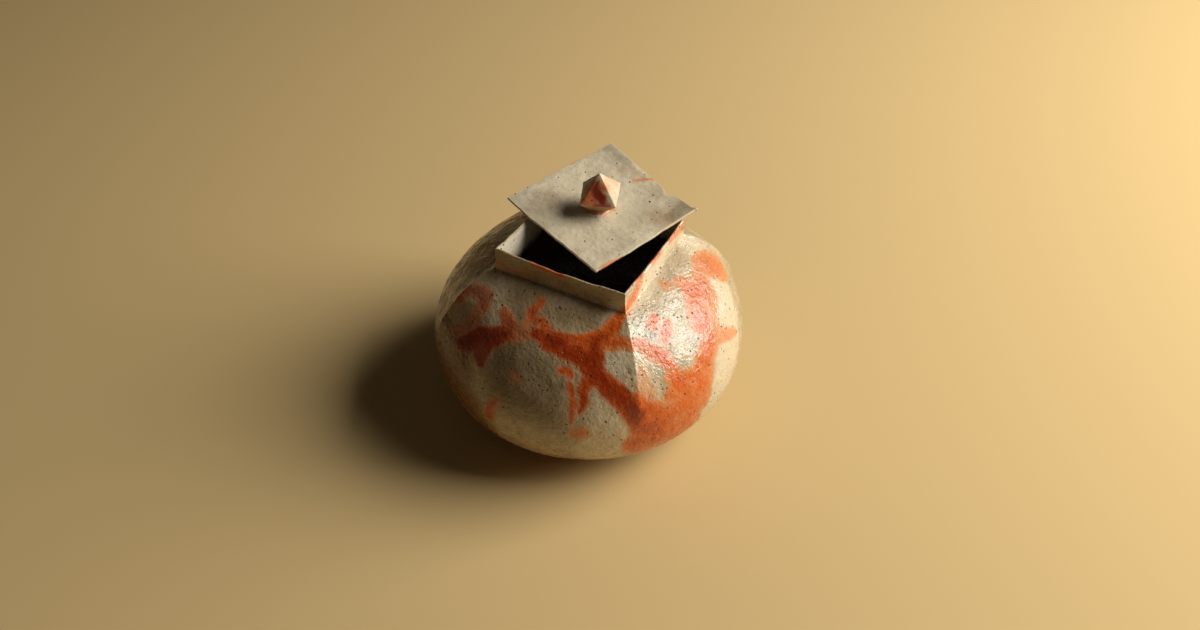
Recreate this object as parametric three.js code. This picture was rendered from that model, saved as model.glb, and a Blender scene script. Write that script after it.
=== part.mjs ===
// Fresh water jar for the tea ceremony, in millimetres, +Z up.
// A low hand-built stoneware jar: a round belly on a foot ring, drawn up by four ridges
// to a square mouth with an upright collar. A thin square lid with a faceted knob lies
// askew on the rim, slid back and turned, so that the front of the mouth is open.
// The origin is on the standing surface, under the middle of the belly.
import * as THREE from "three";
import { ConvexGeometry } from "three/addons/geometries/ConvexGeometry.js";

// Body
const BELLY_RADIUS = 96.5;
const BELLY_HEIGHT = 50.5;
const BODY_TOP = 106.5;
const BODY_BASE_RADIUS = 49;
const WALL = 6;
const FLOOR_THICKNESS = 7;
const SHOULDER_THICKNESS = 5;

// How full the two halves of the body's profile are, as the exponents of a superellipse
const SHOULDER_POWER = 2.1;
const SHOULDER_FULLNESS = 1.34;
const UNDERSIDE_POWER = 2.2;
const UNDERSIDE_FULLNESS = 2.0;

// The ridge below each corner of the mouth stands proud and fades out under the belly
const RIDGE_RISE = 1.6;
const RIDGE_SPREAD = 9;
const RIDGE_FOOT = 22;
const RIDGE_FULL_HEIGHT = 70;

// Foot ring
const FOOT_HEIGHT = 5;
const FOOT_RADIUS = 46;
const FOOT_WIDTH = 8;
const FOOT_TAPER = 1.2;
const FOOT_CHAMFER = 1;

// Mouth and collar. The four corner and side values start at the front right corner and
// at the right side, and go anticlockwise.
const MOUTH_WIDTH = 83;
const MOUTH_DEPTH = 77.5;
const MOUTH_SHIFT = 3.5;
const COLLAR_HEIGHT = 14;
const COLLAR_FLARE = 1.2;
const COLLAR_WALL = 3.2;
const RIM_CHAMFER = 0.8;
const RIM_CORNER_RISE = [0, -2, 1.4, 1];
const RIM_SAG = [2, 2, 2.8, 1.8];

// Lid, a hand-cut square slab
const LID_SIDE = 82.6;
const LID_THICKNESS = 2.6;
const LID_CHAMFER = 0.6;
const LID_CENTRE = new THREE.Vector2(-5.9, 30.5);
const LID_CORNER_TRIM = [0, 1.6, 0, 0];
const LID_TURN = THREE.MathUtils.degToRad(-22.2);
const SEAT_CLEARANCE = 0.3;
const SEAT_MARGIN = 3;

// Knob, a four-sided bipyramid whose lower point is cut off at a short flared stem. Its
// corners start at the right of the lid and go anticlockwise.
const KNOB_CORNER_REACH = [14.6, 16.4, 14.6, 14.4];
const KNOB_CORNER_HEIGHT = 11.5;
const KNOB_PEAK_RISE = 16;
const KNOB_BASE_REACH = 6;
const KNOB_PLACE = new THREE.Vector2(3.3, -6.1);
const STEM_HEIGHT = 1.8;
const STEM_TOP_RADIUS = 5.2;
const STEM_BASE_RADIUS = 7.4;
const LUTE_GAP = 0.3;

// Facets
const SIDE_STEPS = 14;
const SHOULDER_STEPS = 12;
const UNDERSIDE_STEPS = 10;
const INNER_STEPS = 8;
const LATHE_STEPS = 48;

const materials = {
  ashGlaze: { color: 0xb9ab8e, roughness: 0.42, metalness: 0 },
  bareClay: { color: 0xa98a66, roughness: 0.85, metalness: 0 },
  lidGlaze: { color: 0xb3a68b, roughness: 0.6, metalness: 0 },
  knobGlaze: { color: 0xb06a42, roughness: 0.6, metalness: 0 },
};

function piece(name, geometry, material) {
  const mesh = new THREE.Mesh(geometry, new THREE.MeshStandardMaterial(material));
  mesh.name = name;
  return mesh;
}

function middleOf(ring) {
  const sum = ring.reduce((total, point) => total.add(point), new THREE.Vector3());
  return sum.divideScalar(ring.length);
}

// A closed skin through rings of as many points each, anticlockwise seen from above. The
// rings go up the outside and down the inside. A tube joins its last ring to its first,
// and any other skin is capped at both ends.
function loft(rings, isTube) {
  const count = rings[0].length;
  const points = rings.flat();
  const faces = [];
  const bands = isTube ? rings.length : rings.length - 1;
  for (let band = 0; band < bands; band++) {
    const low = band * count;
    const high = ((band + 1) % rings.length) * count;
    for (let i = 0; i < count; i++) {
      const next = (i + 1) % count;
      faces.push(low + i, low + next, high + next, low + i, high + next, high + i);
    }
  }
  if (!isTube) {
    const last = (rings.length - 1) * count;
    const firstCap = points.push(middleOf(rings[0])) - 1;
    const lastCap = points.push(middleOf(rings[rings.length - 1])) - 1;
    for (let i = 0; i < count; i++) {
      const next = (i + 1) % count;
      faces.push(firstCap, next, i, lastCap, last + i, last + next);
    }
  }
  const geometry = new THREE.BufferGeometry().setFromPoints(points);
  geometry.setIndex(faces);
  geometry.computeVertexNormals();
  return geometry;
}

// The corners of a square, anticlockwise from the front right
const cornerSigns = [
  [1, -1],
  [1, 1],
  [-1, 1],
  [-1, -1],
];

// Runs once round a rectangle and gives a point for each step: its side, how far it is
// along that side from 0 to 1, and its place on a rectangle of half width and half depth 1
function aroundSquare(spacing) {
  const stops = [];
  for (let side = 0; side < 4; side++) {
    const [fromX, fromY] = cornerSigns[side];
    const [toX, toY] = cornerSigns[(side + 1) % 4];
    for (let step = 0; step < SIDE_STEPS; step++) {
      const along = spacing(step / SIDE_STEPS);
      const x = THREE.MathUtils.lerp(fromX, toX, along);
      const y = THREE.MathUtils.lerp(fromY, toY, along);
      stops.push({ side, along, x, y });
    }
  }
  return stops;
}

const evenSpacing = (t) => t;

// Closer steps beside the corners than in the middle of a side
function cornerSpacing(t) {
  const centred = 2 * t - 1;
  const closer = Math.sign(centred) * (1 - (1 - Math.abs(centred)) ** 1.3);
  return (closer + 1) / 2;
}

const mouthStops = aroundSquare(cornerSpacing);

// The corner of the mouth that a side of the square starts at, as an angle round the jar
function cornerAngle(side) {
  const [signX, signY] = cornerSigns[side % 4];
  const turns = side >= 1 ? 2 * Math.PI : 0;
  const angle = Math.atan2(signY * MOUTH_DEPTH, signX * MOUTH_WIDTH);
  return angle < 0 ? angle + turns : angle;
}

// One ring of the body. roundness is 0 on the mouth's rectangle and 1 on the round belly.
function bodyRing({ halfWidth, halfDepth, radius, roundness, height, ridge }) {
  return mouthStops.map(({ side, along, x, y }) => {
    const start = cornerAngle(side);
    const sweep = cornerAngle(side + 1) - start;
    const angle = start + sweep * along;
    const fromRidge = Math.min(along, 1 - along) * sweep * radius;
    const reach = radius + ridge * Math.exp(-fromRidge / RIDGE_SPREAD);
    return new THREE.Vector3(
      THREE.MathUtils.lerp(x * halfWidth, Math.cos(angle) * reach, roundness),
      THREE.MathUtils.lerp(y * halfDepth + MOUTH_SHIFT, Math.sin(angle) * reach, roundness),
      height,
    );
  });
}

function ridgeAt(height) {
  return RIDGE_RISE * THREE.MathUtils.smoothstep(height, RIDGE_FOOT, RIDGE_FULL_HEIGHT);
}

// Rings of one side of the body's wall, from its base up to the mouth's rectangle
function wallRings(wall, shoulderSteps, undersideSteps) {
  const rings = [];
  for (let step = undersideSteps; step > 0; step--) {
    const turn = (step / undersideSteps) * (Math.PI / 2);
    const depth = Math.sin(turn) ** (2 / UNDERSIDE_POWER);
    const spread = Math.cos(turn) ** (2 / UNDERSIDE_FULLNESS);
    const height = THREE.MathUtils.lerp(wall.bellyHeight, wall.bottom, depth);
    const radius = THREE.MathUtils.lerp(wall.baseRadius, wall.bellyRadius, spread);
    rings.push(bodyRing({ ...wall, radius, roundness: 1, height, ridge: ridgeAt(height) }));
  }
  for (let step = 0; step <= shoulderSteps; step++) {
    const turn = (step / shoulderSteps) * (Math.PI / 2);
    const rise = Math.sin(turn) ** (2 / SHOULDER_POWER);
    const roundness = Math.max(0, Math.cos(turn)) ** (2 / SHOULDER_FULLNESS);
    const height = THREE.MathUtils.lerp(wall.bellyHeight, wall.top, rise);
    const radius = wall.bellyRadius;
    rings.push(bodyRing({ ...wall, radius, roundness, height, ridge: ridgeAt(height) }));
  }
  return rings;
}

// The outside goes up from the base to the collar's seat, the top edge goes in to the
// mouth's hole, and the inside goes down to the floor
function makeBody() {
  const outer = {
    halfWidth: MOUTH_WIDTH / 2 + COLLAR_FLARE,
    halfDepth: MOUTH_DEPTH / 2 + COLLAR_FLARE,
    bottom: FOOT_HEIGHT,
    baseRadius: BODY_BASE_RADIUS,
    bellyHeight: BELLY_HEIGHT,
    bellyRadius: BELLY_RADIUS,
    top: BODY_TOP,
  };
  const inner = {
    halfWidth: MOUTH_WIDTH / 2 - COLLAR_WALL,
    halfDepth: MOUTH_DEPTH / 2 - COLLAR_WALL,
    bottom: FOOT_HEIGHT + FLOOR_THICKNESS,
    baseRadius: BODY_BASE_RADIUS - WALL,
    bellyHeight: BELLY_HEIGHT,
    bellyRadius: BELLY_RADIUS - WALL,
    top: BODY_TOP - SHOULDER_THICKNESS,
  };
  const outside = wallRings(outer, SHOULDER_STEPS, UNDERSIDE_STEPS);
  const holeEdge = bodyRing({ ...inner, radius: 0, roundness: 0, height: BODY_TOP, ridge: 0 });
  const inside = wallRings(inner, INNER_STEPS, INNER_STEPS).reverse();
  return loft([...outside, holeEdge, ...inside], false);
}

function makeFootRing() {
  const inner = FOOT_RADIUS - FOOT_WIDTH;
  const profile = [
    new THREE.Vector2(inner + FOOT_CHAMFER, 0),
    new THREE.Vector2(FOOT_RADIUS - FOOT_CHAMFER, 0),
    new THREE.Vector2(FOOT_RADIUS, FOOT_CHAMFER),
    new THREE.Vector2(FOOT_RADIUS + FOOT_TAPER, FOOT_HEIGHT),
    new THREE.Vector2(inner - FOOT_TAPER, FOOT_HEIGHT),
    new THREE.Vector2(inner, FOOT_CHAMFER),
    new THREE.Vector2(inner + FOOT_CHAMFER, 0),
  ];
  return new THREE.LatheGeometry(profile, LATHE_STEPS).rotateX(Math.PI / 2);
}

// The rim's height, which runs between four uneven corners and sags on each side
function rimHeight({ side, along }) {
  const fromCorner = RIM_CORNER_RISE[side];
  const toCorner = RIM_CORNER_RISE[(side + 1) % 4];
  const sag = RIM_SAG[side] * 4 * along * (1 - along);
  return BODY_TOP + COLLAR_HEIGHT + THREE.MathUtils.lerp(fromCorner, toCorner, along) - sag;
}

// One ring of the collar: inset from the mouth's outline, at the collar's foot or below
// the rim by drop
function collarRing(inset, drop) {
  return mouthStops.map((stop) => {
    const x = stop.x * (MOUTH_WIDTH / 2 - inset);
    const y = stop.y * (MOUTH_DEPTH / 2 - inset) + MOUTH_SHIFT;
    return new THREE.Vector3(x, y, rimHeight(stop) - drop);
  });
}

const flatten = (ring, height) => ring.map(({ x, y }) => new THREE.Vector3(x, y, height));

const rimOutside = collarRing(RIM_CHAMFER, 0);
const rimInside = collarRing(COLLAR_WALL - RIM_CHAMFER, 0);

function makeCollar() {
  return loft(
    [
      flatten(collarRing(-COLLAR_FLARE, 0), BODY_TOP),
      collarRing(0, RIM_CHAMFER),
      rimOutside,
      rimInside,
      collarRing(COLLAR_WALL, RIM_CHAMFER),
      flatten(collarRing(COLLAR_WALL, 0), BODY_TOP),
    ],
    true,
  );
}

// One ring of the lid, inset from its outline. A trimmed corner pulls its two edges in.
function lidRing(inset, height) {
  return aroundSquare(evenSpacing).map(({ x, y }) => {
    const trim = cornerSigns.reduce((sum, [signX, signY], corner) => {
      const nearness = ((1 + x * signX) * (1 + y * signY)) / 4;
      return sum + LID_CORNER_TRIM[corner] * nearness;
    }, 0);
    const half = LID_SIDE / 2 - inset - trim;
    return new THREE.Vector3(x * half, y * half, height);
  });
}

function makeLidPlate() {
  return loft(
    [
      lidRing(LID_CHAMFER, 0),
      lidRing(0, LID_CHAMFER),
      lidRing(0, LID_THICKNESS - LID_CHAMFER),
      lidRing(LID_CHAMFER, LID_THICKNESS),
    ],
    false,
  );
}

function makeStem() {
  const waist = THREE.MathUtils.lerp(STEM_TOP_RADIUS, STEM_BASE_RADIUS, 0.3);
  const profile = [
    new THREE.Vector2(0, 0),
    new THREE.Vector2(STEM_BASE_RADIUS, 0),
    new THREE.Vector2(waist, STEM_HEIGHT / 2),
    new THREE.Vector2(STEM_TOP_RADIUS, STEM_HEIGHT),
    new THREE.Vector2(0, STEM_HEIGHT),
  ];
  return new THREE.LatheGeometry(profile, LATHE_STEPS / 2).rotateX(Math.PI / 2);
}

// A peak, four corners round the middle, and four below them where the stem holds it
function makeKnob() {
  const cornerHeight = KNOB_CORNER_HEIGHT - STEM_HEIGHT - 2 * LUTE_GAP;
  const points = [new THREE.Vector3(0, 0, cornerHeight + KNOB_PEAK_RISE)];
  KNOB_CORNER_REACH.forEach((reach, corner) => {
    const angle = (corner * Math.PI) / 2;
    const outward = new THREE.Vector3(Math.cos(angle), Math.sin(angle), 0);
    points.push(outward.clone().multiplyScalar(reach).setZ(cornerHeight));
    points.push(outward.clone().multiplyScalar(KNOB_BASE_REACH));
  });
  return new ConvexGeometry(points);
}

// The lid lies on the two back corners of the rim and leans forward until it meets the
// rim once more. The rim is looked at a little past the lid's edges too, so that the lid
// stays clear where an edge crosses it. The result takes the lid's own frame, with its
// underside at height 0, to its place.
function lidSeat() {
  const rightBack = rimOutside[SIDE_STEPS];
  const leftBack = rimOutside[2 * SIDE_STEPS];
  const backSlope = (rightBack.z - leftBack.z) / (rightBack.x - leftBack.x);
  const backHeight = ({ x }) => leftBack.z + (x - leftBack.x) * backSlope;

  const underLid = [...rimOutside, ...rimInside].filter((point) => {
    const local = new THREE.Vector2(point.x, point.y).sub(LID_CENTRE);
    local.rotateAround(new THREE.Vector2(), -LID_TURN);
    return Math.max(Math.abs(local.x), Math.abs(local.y)) < LID_SIDE / 2 + SEAT_MARGIN;
  });
  const leans = underLid
    .filter((point) => leftBack.y - point.y > COLLAR_WALL)
    .map((point) => (backHeight(point) - point.z) / (leftBack.y - point.y));
  const lean = Math.min(...leans);
  const heightAt = (point) => backHeight(point) + (point.y - leftBack.y) * lean;
  const lift = Math.max(...underLid.map((point) => point.z - heightAt(point)));

  const up = new THREE.Vector3(0, 0, 1);
  const normal = new THREE.Vector3(-backSlope, -lean, 1).normalize();
  const tilt = new THREE.Quaternion().setFromUnitVectors(up, normal);
  const turn = new THREE.Quaternion().setFromAxisAngle(up, LID_TURN);
  const height = heightAt(LID_CENTRE) + lift + SEAT_CLEARANCE;
  const place = new THREE.Vector3(LID_CENTRE.x, LID_CENTRE.y, height);
  return { place, attitude: tilt.multiply(turn) };
}

function makeJar() {
  const jar = new THREE.Group();
  jar.add(piece("foot_ring", makeFootRing(), materials.bareClay));
  jar.add(piece("jar_body", makeBody(), materials.ashGlaze));
  jar.add(piece("mouth_collar", makeCollar(), materials.ashGlaze));
  return jar;
}

function makeLid() {
  const lid = new THREE.Group();
  const seat = lidSeat();
  lid.position.copy(seat.place);
  lid.quaternion.copy(seat.attitude);

  lid.add(piece("lid_plate", makeLidPlate(), materials.lidGlaze));
  const stem = piece("knob_stem", makeStem(), materials.lidGlaze);
  stem.position.set(KNOB_PLACE.x, KNOB_PLACE.y, LID_THICKNESS + LUTE_GAP);
  lid.add(stem);
  const knob = piece("knob", makeKnob(), materials.knobGlaze);
  knob.position.set(KNOB_PLACE.x, KNOB_PLACE.y, stem.position.z + STEM_HEIGHT + LUTE_GAP);
  lid.add(knob);
  return lid;
}

const waterJar = new THREE.Group();
waterJar.add(makeJar(), makeLid());

export default waterJar;
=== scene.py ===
# Fresh water jar: the looks of a hand-built stoneware jar with a square mouth, its lid
# and its faceted knob. Shapes are worked out in millimetres, and meshes are in metres.
import math

import bpy
import numpy as np
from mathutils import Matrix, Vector, noise


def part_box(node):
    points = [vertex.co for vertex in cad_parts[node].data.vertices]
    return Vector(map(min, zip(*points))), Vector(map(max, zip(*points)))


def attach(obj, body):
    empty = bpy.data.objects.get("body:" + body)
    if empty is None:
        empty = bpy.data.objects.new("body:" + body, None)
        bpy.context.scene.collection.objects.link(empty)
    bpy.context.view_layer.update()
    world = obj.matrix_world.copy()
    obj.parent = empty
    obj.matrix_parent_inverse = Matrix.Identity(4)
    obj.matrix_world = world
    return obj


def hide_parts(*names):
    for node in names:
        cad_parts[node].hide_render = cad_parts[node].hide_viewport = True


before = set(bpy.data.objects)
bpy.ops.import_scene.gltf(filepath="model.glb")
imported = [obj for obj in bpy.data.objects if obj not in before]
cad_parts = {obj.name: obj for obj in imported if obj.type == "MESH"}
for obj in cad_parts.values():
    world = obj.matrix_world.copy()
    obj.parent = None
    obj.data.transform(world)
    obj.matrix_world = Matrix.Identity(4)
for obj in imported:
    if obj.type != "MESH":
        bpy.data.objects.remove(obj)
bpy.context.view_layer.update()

MM = 0.001

# Camera, found from the photograph
PHOTO_WIDTH = 1200
FOCAL_PIXELS = 1040
SENSOR_WIDTH = 36
CAMERA_PLACE = (0.2262, -0.4197, 0.4982)
CAMERA_PITCH = math.radians(42.74)
CAMERA_TURN = math.radians(27.5)

# Stage, with its sizes in metres: one soft lamp behind the jar and to its right, a dim
# warm room and a plain floor
KEY_DIRECTION = (0.7, 0.44, 0.57)
KEY_DISTANCE = 1.6
KEY_SIZE = 1.1
KEY_WATTS = 35
KEY_COLOUR = (1.0, 0.94, 0.84)
ROOM_LEVEL = 0.03
ROOM_COLOUR = (1.0, 0.85, 0.62)
FLOOR_HALF = 4
FLOOR_COLOUR = (0.76, 0.56, 0.27)

# Sizes that the frame holds
body_low, body_high = (np.array(corner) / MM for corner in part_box("jar_body"))
collar_low, collar_high = (np.array(corner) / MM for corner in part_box("mouth_collar"))
foot_high = np.array(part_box("foot_ring")[1]) / MM
BELLY_MARGIN = 0.7
BELLY_RADIUS = (body_high[0] - body_low[0]) / 2 - BELLY_MARGIN
FOOT_TAPER = 1.2
FOOT_HEIGHT = foot_high[2]
FOOT_RADIUS = foot_high[0] - FOOT_TAPER
BODY_TOP = body_high[2]

# Body and collar. The values for corners start at the front right one, and the values
# for sides at the right side; both go anticlockwise.
CORNER_SIGNS = np.array([(1, -1), (1, 1), (-1, 1), (-1, -1)])
SIDE_DIRECTIONS = np.array([(1, 0), (0, 1), (-1, 0), (0, -1)])
BELLY_HEIGHT = 50.5
BODY_BASE_RADIUS = 49
FOOT_WIDTH = 8
WALL = 6
FLOOR_THICKNESS = 7
SHOULDER_THICKNESS = 5
SHOULDER_POWER = 2.1
SHOULDER_FULLNESS = 1.34
UNDERSIDE_POWER = 2.2
UNDERSIDE_FULLNESS = 2.0
RIDGE_RISE = 2.2
RIDGE_SPREAD = 8
RIDGE_FOOT = 50
RIDGE_FULL_HEIGHT = 80
CREST_ROUND = 0.4
CREST_SHIFT = 0.6
COLLAR_FLARE = 1.2
MOUTH_WIDTH = (collar_high[0] - collar_low[0]) - 2 * COLLAR_FLARE
MOUTH_DEPTH = (collar_high[1] - collar_low[1]) - 2 * COLLAR_FLARE
MOUTH_SHIFT = (collar_high[1] + collar_low[1]) / 2
COLLAR_HEIGHT = 14
COLLAR_WALL = 3.2
RIM_WALL = 1.5
RIM_FLARE = 0.5
RIM_CORNER_RISE = [0, -2, 1.4, 1]
RIM_SAG = [2, 2, 2.8, 1.8]
RIM_WAVE = 0.8
RIM_NIBBLE = 0.45
CREASE_SOFTNESS = [0.25, 0.5, 1.0, 0.1]

# Lid, and how far the clay round its knob's stem is drawn up
LID_TURN = math.radians(-22.2)
LID_THICKNESS = 2.6
LID_EDGE_THICKNESS = 1.7
LID_EDGE_ROUND = 0.45
LID_DRAWN_UP = 1.1
LID_DRAWN_REACH = 12

# Knob and stem. The knob's waist is a little wider than the frame's, and its peak higher,
# for what the rounding of the arrises takes off.
KNOB_SHARPNESS = 46
KNOB_GROWTH = 1.03
KNOB_PEAK_GROWTH = 0.35
KNOB_WAIST_DROP = 0.4
KNOB_FOOT_DROP = 0.3
KNOB_FOOT_SHARE = 0.42
STEM_FOOT_REACH = 10.5
STEM_TOP_REACH = 4.4
STEM_SUNK = 0.5
STEM_INSIDE_KNOB = 2.2

# Hand-made unevenness in layers: height and size across in millimetres, and a seed. The
# sizes of FOOT_WOBBLE and STEM_SPREAD are shares of a round's radius.
JAR_ROLLING = [(0.6, 38, 1.7), (0.3, 15, 5.3)]
JAR_HAND_LINES = [(0.22, 18, 3.9)]
HAND_LINE_SQUASH = (1, 1, 2.6)
JAR_GRAIN = [(0.14, 5, 8.1), (0.08, 2.6, 6.4)]
FOOT_WOBBLE = [(0.35, 0.35, 2.2)]
LID_EDGE_WAVES = [(0.3, 7, 3.3), (0.22, 2.4, 7.7)]
LID_WARP = [(0.35, 34, 2.9), (0.16, 12, 6.1)]
LID_GRAIN = [(0.07, 3.2, 1.1), (0.04, 1.6, 4.4)]
KNOB_WEAR = [(0.22, 9, 3.1), (0.09, 3, 5.5), (0.04, 1.4, 2.5)]
STEM_SPREAD = [(1.0, 0.6, 3.4), (0.5, 0.2, 8.8)]
STEM_GRAIN = [(0.1, 2.4, 1.9)]

# Mesh density: columns round a piece, and steps and rows along it
CORNER_CROWDING = 1.25
JAR_SIDE_COLUMNS = 150
JAR_OUTSIDE_STEPS = 60
JAR_INSIDE_STEPS = 24
JAR_UNDERSIDE_STEPS = 6
JAR_FLOOR_STEPS = 8
COLLAR_STEPS = 18
LIP_STEPS = 9
LINING_STEPS = 14
LID_SIDE_COLUMNS = 110
LID_UNDER_ROWS = 40
LID_EDGE_ROWS = 9
LID_TOP_ROWS = 80
KNOB_COLUMNS = 220
KNOB_ROWS = 150
STEM_COLUMNS = 160
STEM_ROWS = 26
FOOT_COLUMNS = 240

# How many rows below and above the crease at the collar's foot are evened, and how often,
# where it is crisp and where the wall flows into the collar
CRISP_CREASE = (5, 5, 3)
FLOWING_CREASE = (16, 14, 90)

# What stands for a place far outside every stroke, in millimetres
FAR_OUTSIDE = -60.0

# Fire marks on the jar: how dark they are burnt, how much they cover, and then places
# along the stroke. Each has its azimuth and elevation in degrees, seen from the belly's
# middle, and its half width in millimetres. The ones in front follow the photograph, and
# those on the hidden back are made up.
FRONT_MARKS = [
    (0.9, 0.65, [(-136, 28, 2.4), (-137, 31, 2.3), (-135, 34, 2.5), (-131, 36, 3), (-126, 36, 3.2),
                 (-123, 33, 3)]),
    (0.8, 0.35, [(-124, 31, 2.3), (-122, 28, 3), (-122, 24, 3.8)]),
    (0.6, 0.35, [(-154, 18, 1.5), (-144, 21, 2), (-141, 18, 1.5)]),
    (0.85, 0.75, [(-112, 37, 1.4), (-108, 35, 2.3), (-103, 33, 3), (-100, 31, 2.3)]),
    (0.6, 0.4, [(-100, 32, 1.7), (-97, 33, 1.8), (-95, 35, 1.3)]),
    (1.15, 0.95, [(-102, 32, 3), (-106, 29, 4.3), (-110, 26, 6), (-114, 24, 6.5), (-117, 21, 5.2),
                  (-120, 18, 3.4)]),
    (0.9, 0.55, [(-124, 21, 2.4), (-126, 19, 2.4)]),
    (1.1, 0.85, [(-110, 23, 5.6), (-109, 20, 4.2), (-107, 17, 1.4)]),
    (0.6, 0.45, [(-98, 38, 0.9), (-95, 35, 1.2), (-94, 32, 1.2)]),
    (0.85, 0.85, [(-97, 49, 1), (-96, 46, 1.1), (-98, 43, 1.8), (-95, 41, 1.5), (-92, 40, 1),
                  (-89, 41, 1)]),
    (0.8, 0.9, [(-89, 41, 1.4), (-86, 38, 2.2), (-83, 36, 2.8)]),
    (1, 1, [(-90, 35, 2.3), (-84, 35, 4), (-78, 34, 5), (-73, 33, 5.6), (-68, 32, 5.5),
            (-61, 28, 4.4)]),
    (0.65, 1, [(-81, 36, 3), (-71, 35, 3.4), (-64, 36, 3.5), (-58, 37, 4), (-53, 38, 4),
               (-49, 41, 3.5), (-44, 44, 2)]),
    (0.4, 1, [(-57, 36, 3.4), (-51, 35, 3.4), (-47, 35, 2.8), (-43, 33, 1.7)]),
    (0.95, 1, [(-59, 35, 4.5), (-60, 30, 5), (-61, 26, 5.2), (-60, 23, 4.4)]),
    (0.9, 1, [(-63, 22, 2.5), (-64, 18, 2.2), (-64, 15, 1.9), (-65, 12, 0.8)]),
    (0.8, 1, [(-69, 21, 0.1), (-68, 17, 0.5), (-68, 14, 1.2), (-68, 11, 0.8), (-68, 8, 0.1)]),
    (0.6, 0.7, [(-66, 3, 3.2), (-65, 4, 3.2)]),
    (0.7, 1, [(-74, 25, 0.2), (-71, 25, 0.6), (-69, 24, 0.1)]),
    (0.85, 0.85, [(-97, 8, 0.5), (-98, 5, 1.8), (-99, 0, 1.3)]),
    (0.6, 0.3, [(-92, 20, 0.7), (-90, 18, 0.9)]),
    (0.9, 1, [(-60, 25, 4.9), (-57, 22, 4.7), (-54, 19, 5), (-51, 16, 5), (-48, 13, 5.7),
              (-45, 9, 6.9)]),
    (0.6, 1, [(-45, 9, 6), (-43, 3, 7), (-39, 1, 10)]),
    (0.45, 1, [(-44, 16, 2.8), (-42, 12, 3.9), (-40, 9, 5.6), (-37, 5, 8)]),
    (0.4, 1, [(-46, -4, 6.5), (-43, -7, 11), (-38, -9, 14), (-31, -9, 14), (-25, -7, 10)]),
    (0.3, 1, [(-16, 13, 7.7), (-19, 10, 10.9), (-23, 6, 15), (-27, 3, 15), (-32, 1, 16)]),
    (0.35, 0.88, [(-5, 20, 5.7), (-8, 18, 5.8), (-13, 16, 6.6), (-16, 13, 7.7)]),
    (0.4, 1, [(-30, 18, 4), (-27, 14, 7), (-22, 13, 7)]),
    (0.4, 1, [(-32, 12, 4), (-29, 8, 6)]),
    (0.25, 0.85, [(31, 36, 3.1), (29, 34, 7.9), (32, 30, 9.7), (33, 27, 9.4), (31, 24, 1.5)]),
    (0.25, 0.8, [(30, 35, 3.8), (22, 35, 4.8), (16, 34, 6.9), (12, 31, 8)]),
    (0.35, 0.85, [(7, 42, 2.4), (8, 39, 5), (7, 37, 6.6), (8, 34, 7.3)]),
    (0.35, 0.85, [(7, 35, 7.4), (3, 32, 9), (-1, 28, 8.9), (-4, 26, 8)]),
    (0.2, 0.7, [(15, 30, 4.5), (8, 27, 4.5), (2, 24, 4.5), (-1, 20, 5.4)]),
    (0.2, 0.8, [(-2, 19, 4.1), (2, 17, 3.5), (6, 14, 2.4), (10, 12, 1)]),
    (0.2, 0.5, [(-41, 24, 1.9), (-42, 20, 3), (-41, 15, 3.6)]),
    (0.4, 1, [(-41, 34, 1.9), (-38, 32, 3.1), (-36, 29, 3.6), (-33, 27, 3.5), (-30, 25, 3.8),
              (-28, 19, 3.2)]),
    (0.5, 1, [(-25, 39, 1.6), (-28, 37, 2.5), (-29, 36, 1.2)]),
    (0.5, 1, [(-20, 35, 1.4), (-23, 33, 2.9), (-26, 31, 2.6), (-26, 29, 1.3)]),
    (0.2, 0.6, [(-2, 47, 2), (-2, 46, 2)]),
    (0.45, 0.9, [(-40, 46, 1.2), (-36, 49, 2.2), (-30, 51, 2.8), (-25, 54, 3), (-20, 57, 2)]),
    (0.45, 0.75, [(31, 54, 2.3), (46, 47, 1.8), (46, 49, 0.9)]),
    (0.6, 0.25, [(-137, 49, 1.2), (-132, 50, 1.7), (-118, 56, 1.5)]),
    (0.8, 0.7, [(-115, 60, 0.8), (-100, 62, 0.9), (-88, 62, 0.7)]),
    (0.5, 1, [(0, 60, 0.9), (16, 60, 1)]),
]
BACK_MARKS = [
    (0.85, 1, [(63, 39, 2), (70, 33, 5), (80, 27, 8), (92, 22, 9), (104, 16, 8), (112, 10, 4)]),
    (0.7, 1, [(92, 22, 8), (90, 29, 5), (97, 40, 3), (104, 47, 2)]),
    (0.9, 1, [(104, 16, 8), (114, 11, 7), (124, 4, 8), (131, -5, 6), (135, -14, 3)]),
    (0.7, 1, [(122, 8, 5), (131, 13, 4), (139, 15, 2.6), (147, 13, 1)]),
    (0.4, 0.7, [(116, 0, 4), (112, -8, 3.4), (111, -14, 1.5)]),
    (0.6, 1, [(86, 18, 3), (85, 10, 2.2), (84, 4, 1)]),
    (0.5, 1, [(66, 6, 3), (71, 4, 3.4), (75, 6, 1.5)]),
    (0.6, 1, [(152, 48, 1.5), (158, 42, 3.2), (163, 36, 3), (166, 28, 1.6)]),
    (0.5, 1, [(150, 7, 3.4), (156, 5, 3.8), (163, 6, 1.5)]),
    (0.5, 1, [(120, 56, 1.5), (134, 51, 2), (140, 49, 1.2)]),
]

# Islands of glaze left pale inside the fire marks: how pale, and then places as above
ISLANDS = [
    (0.5, [(-69, 34, 1.5), (-66, 33, 2.4), (-63, 32, 1.5)]),
    (1, [(-132, 31, 1.8), (-129, 32, 0.6)]),
]

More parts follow.
